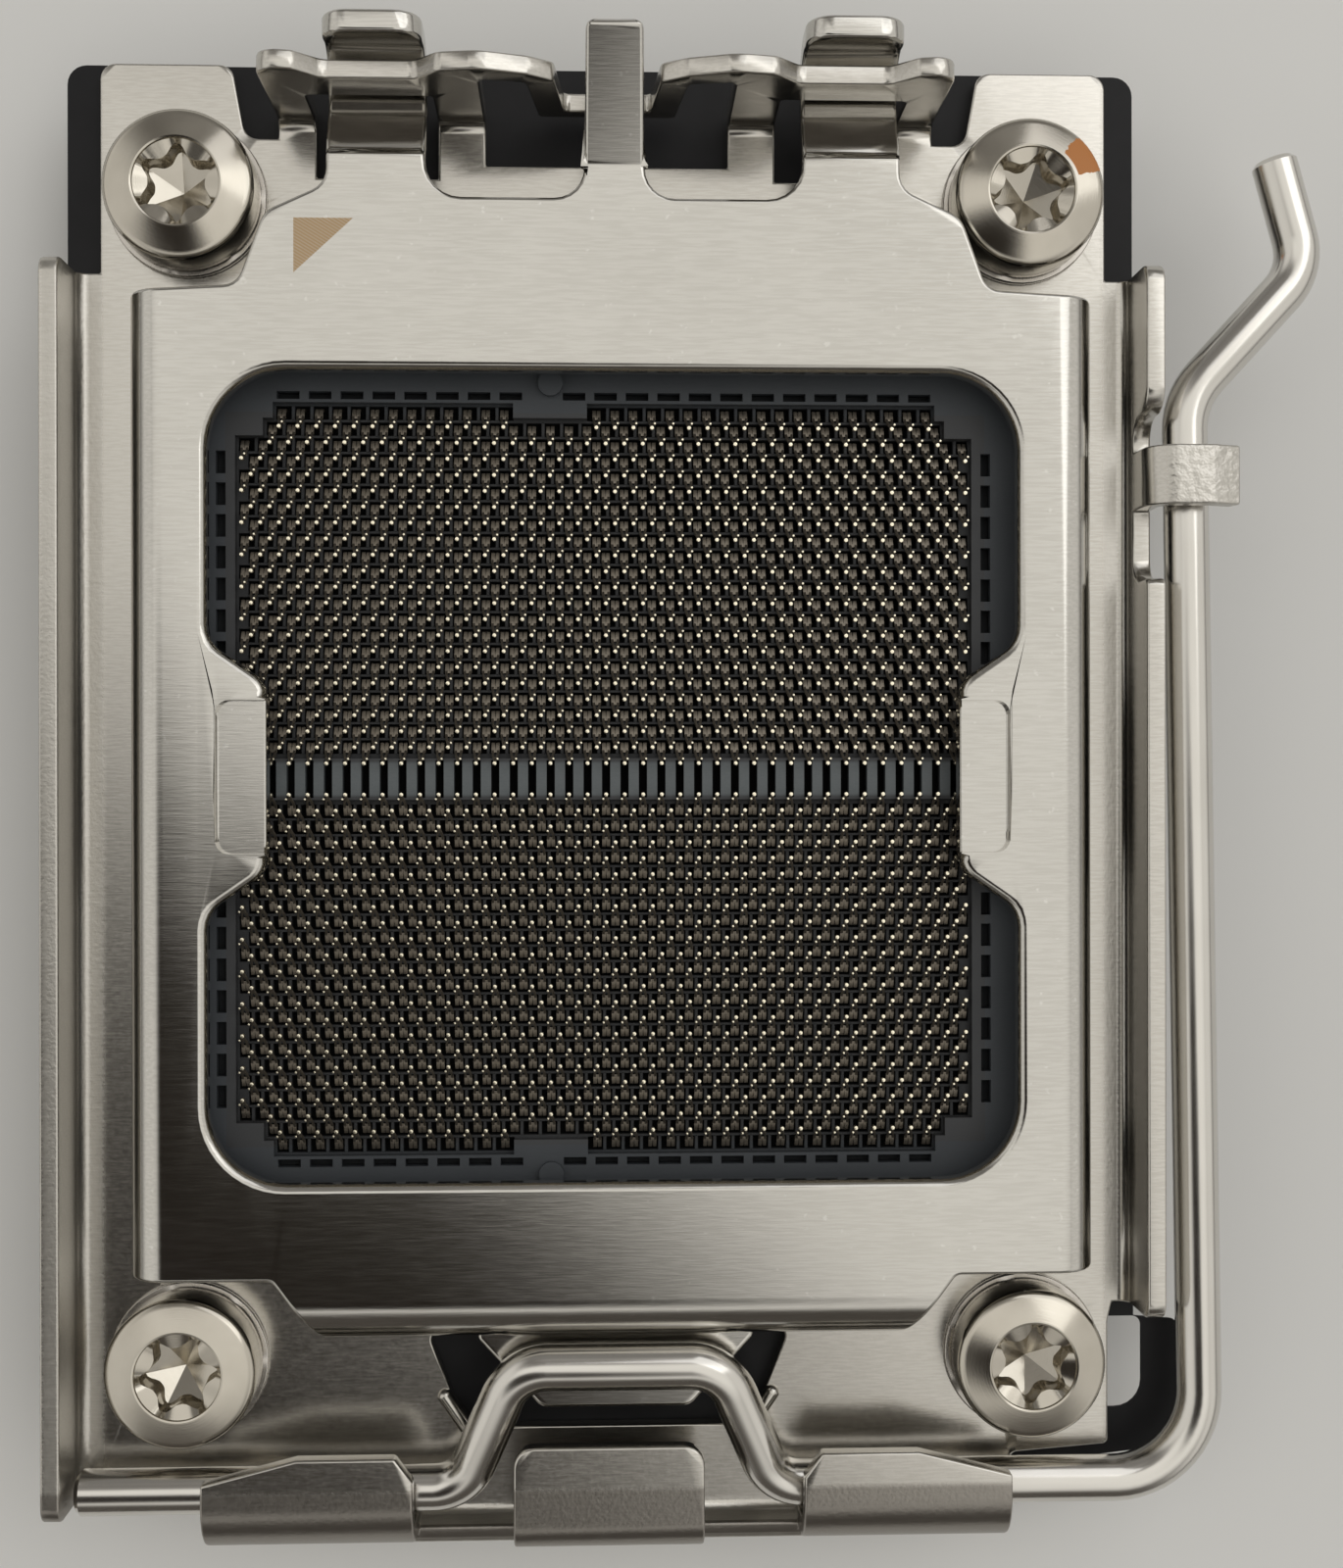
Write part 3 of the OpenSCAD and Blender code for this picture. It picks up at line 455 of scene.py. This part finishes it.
def swept(name, points, radius, sides=32, chamfer=0.25):
    """A round wire along points, with eased ends and a map of its length and its turn."""
    runs = [(b - a).normalized() for a, b in zip(points, points[1:])]
    ways = [runs[0]] + [(a + b).normalized() for a, b in zip(runs, runs[1:])] + [runs[-1]]
    rings = [(points[0], radius - chamfer, 0), (points[0] + runs[0] * chamfer, radius, 0)]
    rings += [(p, radius, i) for i, p in enumerate(points[1:-1], 1)]
    last = len(points) - 1
    rings += [(points[-1] - runs[-1] * chamfer, radius, last), (points[-1], radius - chamfer, last)]
    side = ways[0].orthogonal().normalized()
    way = ways[0]
    verts, lengths, run = [], [], 0.0
    for n, (centre, r, i) in enumerate(rings):
        side = way.rotation_difference(ways[i]) @ side
        way = ways[i]
        other = way.cross(side)
        verts += [centre + r * (math.cos(2 * math.pi * k / sides) * side + math.sin(2 * math.pi * k / sides) * other)
                  for k in range(sides)]
        run += (centre - rings[n - 1][0]).length if n else 0
        lengths.append(run)
    count = len(rings)
    faces = tube_faces(count, sides)
    faces += [list(range(sides))[::-1], [(count - 1) * sides + k for k in range(sides)]]
    mesh = mesh_from(name, verts, faces)
    uv = mesh.uv_layers.new(name="wire")
    for face in mesh.polygons:
        turns = [mesh.loops[i].vertex_index % sides for i in face.loop_indices]
        wraps = max(turns) - min(turns) > sides / 2 and len(turns) == 4
        for i, k in zip(face.loop_indices, turns):
            ring = mesh.loops[i].vertex_index // sides
            uv.data[i].uv = (lengths[ring], (k + (sides if wraps and k == 0 else 0)) / sides)
    mesh.shade_smooth()
    mesh.set_sharp_from_angle(angle=math.radians(30))
    return add(name, mesh)


# Load lever
CRANK_THROW, CRANK_RISE = 6.7, 1.65
CRANK_X, CRANK_ROOT, CRANK_HALF = 0.5, 7.9, 5.2
ARM_X, ARM_L, ARM_LEAN = 30.45, 55.5, 0.75
SHAFT_END = -26.8
HANDLE_BEND, HANDLE_TIP = Vector((6.2, 6.75, 0)), Vector((4.65, 12.4, 0))
BEND_RADII = (2.2, 2.4, 2.4, 2.2, 4.5, 4, 3)
crank = Vector((0, math.sqrt(CRANK_THROW ** 2 - CRANK_RISE ** 2), CRANK_RISE))
arm_end = Vector((ARM_X - ARM_LEAN, ARM_L, 0))
lever_corners = [SHAFT + p for p in (
    Vector((SHAFT_END, 0, 0)), Vector((CRANK_X - CRANK_ROOT, 0, 0)), crank + Vector((CRANK_X - CRANK_HALF, 0, 0)),
    crank + Vector((CRANK_X + CRANK_HALF, 0, 0)), Vector((CRANK_X + CRANK_ROOT, 0, 0)), Vector((ARM_X, 0, 0)),
    arm_end, arm_end + HANDLE_BEND, arm_end + HANDLE_TIP)]
lever_path = rounded_path(lever_corners, BEND_RADII)
hand_over(swept("bent_wire", lever_path, WIRE_D / 2), "lever_wire", "lever_wire", "load_lever", "load_lever")


def scatter_tree(name, finish):
    """Puts one shape at every point, turned as the point says."""
    tree = bpy.data.node_groups.new(name, "GeometryNodeTree")
    for label, kind in (("Points", "NodeSocketGeometry"), ("Shape", "NodeSocketObject"), ("Size", "NodeSocketFloat")):
        tree.interface.new_socket(label, in_out="INPUT", socket_type=kind)
    tree.interface.new_socket("Pieces", in_out="OUTPUT", socket_type="NodeSocketGeometry")
    make = tree.nodes.new
    start, end = make("NodeGroupInput"), make("NodeGroupOutput")
    shape, turn = make("GeometryNodeObjectInfo"), make("GeometryNodeInputNamedAttribute")
    turn.data_type = "FLOAT_VECTOR"
    turn.inputs["Name"].default_value = "turn"
    copies, whole, paint = (make("GeometryNode" + kind) for kind in (
        "InstanceOnPoints", "RealizeInstances", "SetMaterial"))
    paint.inputs["Material"].default_value = FINISH[finish]
    for source, target in (
            (start.outputs["Points"], copies.inputs["Points"]), (start.outputs["Shape"], shape.inputs["Object"]),
            (start.outputs["Size"], copies.inputs["Scale"]), (shape.outputs["Geometry"], copies.inputs["Instance"]),
            (turn.outputs[0], copies.inputs["Rotation"]), (copies.outputs[0], whole.inputs[0]),
            (whole.outputs[0], paint.inputs["Geometry"]), (paint.outputs[0], end.inputs[0])):
        tree.links.new(source, target)
    return tree


def scattered(name, shape_mesh, spots, finish):
    """One piece made of a shape repeated at spots of (place, turn about the upright)."""
    shape = add(name + "_shape", shape_mesh)
    points = mesh_from(name, [place for place, _ in spots], [])
    turns = points.attributes.new("turn", "FLOAT_VECTOR", "POINT")
    for i, (_, turn) in enumerate(spots):
        turns.data[i].vector = (0, 0, turn)
    piece = add(name, points)
    tree = scatter_tree(name + "_tree", finish)
    modifier = piece.modifiers.new("scatter", "NODES")
    modifier.node_group = tree
    for item in tree.interface.items_tree:
        if item.name == "Shape":
            modifier[item.identifier] = shape
        elif item.name == "Size":
            modifier[item.identifier] = 1.0
    bake(piece)
    bpy.data.objects.remove(shape)
    return piece


# Contact field
def field_rows():
    """Every row of one half, from the middle outwards, as (row, x places)."""
    for row in range(ROWS):
        count = ROW_N + row % 2
        skip = max(0, row - ROWS + 3)
        places = [(i - (count - 1) / 2) * PITCH_X for i in range(skip, count - skip)]
        yield row, [x for x in places if row < ROWS - 1 or not KEY[0] < x < KEY[1]]


def field_spots(side, outward=0.0):
    """Contact places of one half, each moved outward from the middle."""
    turn = 0.0 if side > 0 else math.pi
    return [((FIELD_X + x, side * (FIRST_ROW + row * PITCH_Y + outward), 0), turn)
            for row, places in field_rows() for x in places]


def strip(rings):
    """A four-sided bar through rings of (x, y, z, width, thickness)."""
    points = []
    for x, y, z, w, t in rings:
        points += [(x - w, y - t, z), (x + w, y - t, z), (x + w, y + t, z), (x - w, y + t, z)]
    last = 4 * len(rings) - 4
    return points, tube_faces(len(rings), 4) + [[3, 2, 1, 0], [last, last + 1, last + 2, last + 3]]


def joined(name, parts):
    """One mesh from several (points, faces)."""
    points, faces = [], []
    for more, sides in parts:
        faces += [[i + len(points) for i in face] for face in sides]
        points += more
    mesh = mesh_from(name, points, faces)
    mesh.shade_smooth()
    mesh.set_sharp_from_angle(angle=math.radians(40))
    return mesh


def pin(x, y, z, foot, radius, sides):
    """A round-topped pin from a foot height up to z."""
    rings = ((0.8, foot), (1.0, z - 0.6 * radius), (0.85, z - 0.12 * radius))
    points = [(x + radius * share * math.cos(2 * math.pi * k / sides),
               y + radius * share * math.sin(2 * math.pi * k / sides), h)
              for share, h in rings for k in range(sides)]
    faces = tube_faces(len(rings), sides)
    last = (len(rings) - 1) * sides
    faces += [[last + k, last + (k + 1) % sides, len(points)] for k in range(sides)]
    return points + [(x, y, z)], faces + [list(range(sides))[::-1]]


def contact_shape():
    """A leaf in two halves that forks round a slot and narrows to a domed tip, with a small point beside it."""
    leaf = [strip([(s * 0.115, 1.06, CAVITY_FLOOR, 0.08, 0.04), (s * 0.115, 1.02, 2.2, 0.09, 0.05),
                   (s * 0.105, 0.62, 2.42, 0.1, 0.06)]) for s in (-1, 1)]
    fork = [strip([(s * 0.14, 0.64, 2.4, 0.06, 0.06), (s * 0.12, 0.40, 2.66, 0.055, 0.06),
                   (s * 0.05, 0.24, 2.86, 0.05, 0.06)]) for s in (-1, 1)]
    neck = strip([(0, 0.27, 2.82, 0.10, 0.06), (0, 0.06, 3.1, 0.07, 0.05)])
    tip, point = pin(0, 0, 3.4, 3.0, 0.115, 8), pin(0.146, 0.23, 3.34, 2.8, 0.065, 6)
    return joined("contact", [*leaf, *fork, neck, tip, point])


for side, half in ((1, "rear"), (-1, "front")):
    springs = scattered("spring_contacts_" + half, contact_shape(), field_spots(side), "contact_gold")
    hand_over(springs, "contact_gold", "contact_gold", "base", *(f"contacts_{half}_{g}" for g in range(1, 12)))


# Walls between the contacts of a row, a little aside of half-way
WALL_ASIDE = 0.1


def wall_shape(half=0.085, ease=0.03, lap=0.02):
    """A thin wall across a row's trench, lapped into its sides and eased on top."""
    near, far = CAVITY[0] - lap, CAVITY[1] + lap
    low, high = CAVITY_FLOOR - 0.05, CAVITY_TOP
    points = []
    for z, inset in ((low, 0), (high - ease, 0), (high, ease)):
        points += [(-half + inset, near, z), (half - inset, near, z), (half - inset, far, z), (-half + inset, far, z)]
    return mesh_from("wall", points, tube_faces(3, 4) + [[3, 2, 1, 0], [8, 9, 10, 11]])


def wall_spots():
    """Places between neighbours in a row, but not across the key."""
    for side in (1, -1):
        for row, places in field_rows():
            for x, after in zip(places, places[1:]):
                if after - x < 1.5 * PITCH_X:
                    place = (FIELD_X + (x + after) / 2 + side * WALL_ASIDE, side * (FIRST_ROW + row * PITCH_Y), 0)
                    yield place, 0.0 if side > 0 else math.pi


hand_over(scattered("cavity_walls", wall_shape(), list(wall_spots()), "housing_plastic"),
          "housing_plastic", "housing_plastic", "base")


# Solder balls under the housing
def ball_shape(radius=0.27, sides=8):
    """A coarse ball that stands on the origin."""
    points = [(0, 0, 0)]
    levels = [(math.sin(a), -math.cos(a)) for a in (math.pi * k / 5 for k in range(1, 5))]
    for r, h in levels:
        points += [(radius * r * math.cos(2 * math.pi * k / sides), radius * r * math.sin(2 * math.pi * k / sides),
                    radius + radius * h) for k in range(sides)]
    faces = [[0, 1 + (k + 1) % sides, 1 + k] for k in range(sides)] + tube_faces(len(levels), sides, 1)
    top = 1 + (len(levels) - 1) * sides
    mesh = mesh_from("ball", points, faces + [[top + k for k in range(sides)]])
    mesh.shade_smooth()
    return mesh


BALL_OUTWARD = 0.5
balls = field_spots(1, BALL_OUTWARD) + field_spots(-1, BALL_OUTWARD)
hand_over(scattered("solder_balls", ball_shape(), balls, "solder_tin"), "solder_tin", "washer_steel", "base")


# Screws
HEAD_Z, HEAD_H, HEAD_R = 1.5, 3.0, 3.8
NECK_R, THREAD_R, THREAD_PITCH, THREAD_DEPTH, SHANK = 1.5, 1.75, 0.79, 0.34, 5.0
POINT_R = 1.2


def screw_shape(sides=72):
    """Head with a six-lobe recess, neck and thread, as rings about the upright."""
    top = HEAD_Z + HEAD_H

    def lobes(t):
        return 1.65 + 0.29 * math.cos(6 * t) + 0.06 * math.cos(12 * t)

    rings = [(lambda t: POINT_R, -SHANK)]
    steps = 60
    for k in range(steps + 1):
        z = -SHANK + 0.25 + (SHANK - 0.3) * k / steps
        ease = min(1.0, k / 6, (steps - k) / 6)

        def thread(t, z=z, ease=ease):
            phase = (z / THREAD_PITCH - t / (2 * math.pi)) % 1.0
            return THREAD_R - THREAD_DEPTH * ease * (1 - abs(2 * phase - 1)) - 0.12 * (1 - ease)

        rings.append((thread, z))
    for r, z in ((NECK_R, 0.0), (NECK_R, HEAD_Z - 0.02), (3.55, HEAD_Z), (HEAD_R, HEAD_Z + 0.2), (HEAD_R, top - 0.9),
                 (3.77, top - 0.74), (3.69, top - 0.61), (3.56, top - 0.52), (3.40, top - 0.46), (2.9, top - 0.29),
                 (2.38, top - 0.12), (2.27, top - 0.09), (2.18, top - 0.12), (2.14, top - 0.21)):
        rings.append((lambda t, r=r: r, z))
    for share, z in ((1.0, top - 0.42), (0.985, top - 0.5), (0.96, top - 1.45)):
        rings.append((lambda t, share=share: share * lobes(t), z))
    deepest, slope, floor_share = top - 2.4, 0.5, 0.93

    def floor_z(t):
        return deepest + slope * floor_share * lobes(t) * math.cos(t % (math.pi / 3) - math.pi / 6)

    rings.append((lambda t: floor_share * lobes(t), floor_z))
    points = []
    for radius, z in rings:
        for t in (2 * math.pi * k / sides for k in range(sides)):
            points.append((radius(t) * math.cos(t), radius(t) * math.sin(t), z(t) if callable(z) else z))
    faces = tube_faces(len(rings), sides)
    last = (len(rings) - 1) * sides
    points += [(0, 0, deepest)]
    faces += [[last + k, last + (k + 1) % sides, len(points) - 1] for k in range(sides)]
    faces += [list(range(sides))[::-1]]
    mesh = mesh_from("screw", points, faces)
    mesh.shade_smooth()
    mesh.set_sharp_from_angle(angle=math.radians(24))
    return mesh


screw_spots = [((-SCREW_X, SCREW_Y, 0), 0.5), ((SCREW_X, SCREW_Y, 0), 0.25), ((-SCREW_X, -SCREW_Y, 0), 0.1),
               ((SCREW_X, -SCREW_Y, 0), 0.42)]
hand_over(scattered("fixing_screws", screw_shape(), screw_spots, "screw_steel"), "screw_steel", "screw_steel", "base",
          "clamp_screws")


# Floor, light dome and lamp
FLOOR_HALF = 3.0
low = min(cad_box[0][2], cad_box[1][2])
floor_mesh = bpy.data.meshes.new("floor")
floor_mesh.from_pydata([(x * FLOOR_HALF, y * FLOOR_HALF, low) for x, y in ((-1, -1), (1, -1), (1, 1), (-1, 1))],
                       [], [[0, 1, 2, 3]])
floor = add("floor", floor_mesh)
ground = Finish("floor_paint")
gx, gy, _ = ground.place()
floor_mesh.materials.append(ground.surface(
    Base_Color=ground.mix(ground.noise((gx * 0.02, gy * 0.02, 0.0)), (0.76, 0.76, 0.75), (0.80, 0.80, 0.79)),
    Roughness=0.8))

world = bpy.data.worlds.new("light_dome")
bpy.context.scene.world = world
world.use_nodes = True
dome = Finish("light_dome", world.node_tree)
sky = Sock(dome, dome.node("ShaderNodeTexCoord").outputs["Generated"])
parts = dome.node("ShaderNodeSeparateXYZ", inputs={0: sky})
dx, dy, dz = (Sock(dome, out) for out in parts.outputs)
# An oval dark card over the left front, bright above and at the sides, dark bands behind and in front
lean, across = 0.65 * dx + 0.76 * dy, 0.76 * dx - 0.65 * dy
lean, across = (lean + 0.36) / 0.2, across / 0.32
card = (1 - (lean * lean + across * across).ramp(0.5, 2.6)) * dz.ramp(0.3, 0.5)
above = dz.ramp(0.45, 0.9)
sides = abs(dx).ramp(0.4, 0.75) * dz.ramp(0.0, 0.35) * 0.75
light = dome.mix(dome.maths("MAXIMUM", above, sides), (0.24, 0.23, 0.215), (1.0, 0.975, 0.92))
beside = 1 - abs(dx).ramp(0.3, 0.7)
behind = dy.ramp(0.36, 0.52) * (1 - dy.ramp(0.68, 0.9)) * beside
before = (0 - dy).ramp(0.66, 0.86) * beside
light = dome.mix(behind * 0.8, light, (0.11, 0.10, 0.09))
light = dome.mix(before * 0.85, light, (0.07, 0.06, 0.05))
shade = dome.mix(card, light, (0.02, 0.016, 0.013))
back = dome.node("ShaderNodeBackground", inputs={"Color": shade, "Strength": 1.0})
dome.node("ShaderNodeOutputWorld", inputs={"Surface": Sock(dome, back.outputs[0])})

LAMP_WIDE, LAMP_TALL, LAMP_WATTS = 0.42, 0.32, 0.4
LAMP_PLACE = Vector((0.22, 0.26, 0.36))
lamp = bpy.data.lights.new("softbox", "AREA")
lamp.shape, lamp.size, lamp.size_y, lamp.energy = "RECTANGLE", LAMP_WIDE, LAMP_TALL, LAMP_WATTS
key = bpy.data.objects.new("softbox", lamp)
key.matrix_world = Matrix.Translation(LAMP_PLACE) @ LAMP_PLACE.to_track_quat("Z", "Y").to_matrix().to_4x4()
bpy.context.scene.collection.objects.link(key)

bpy.context.scene.view_settings.view_transform = "Standard"
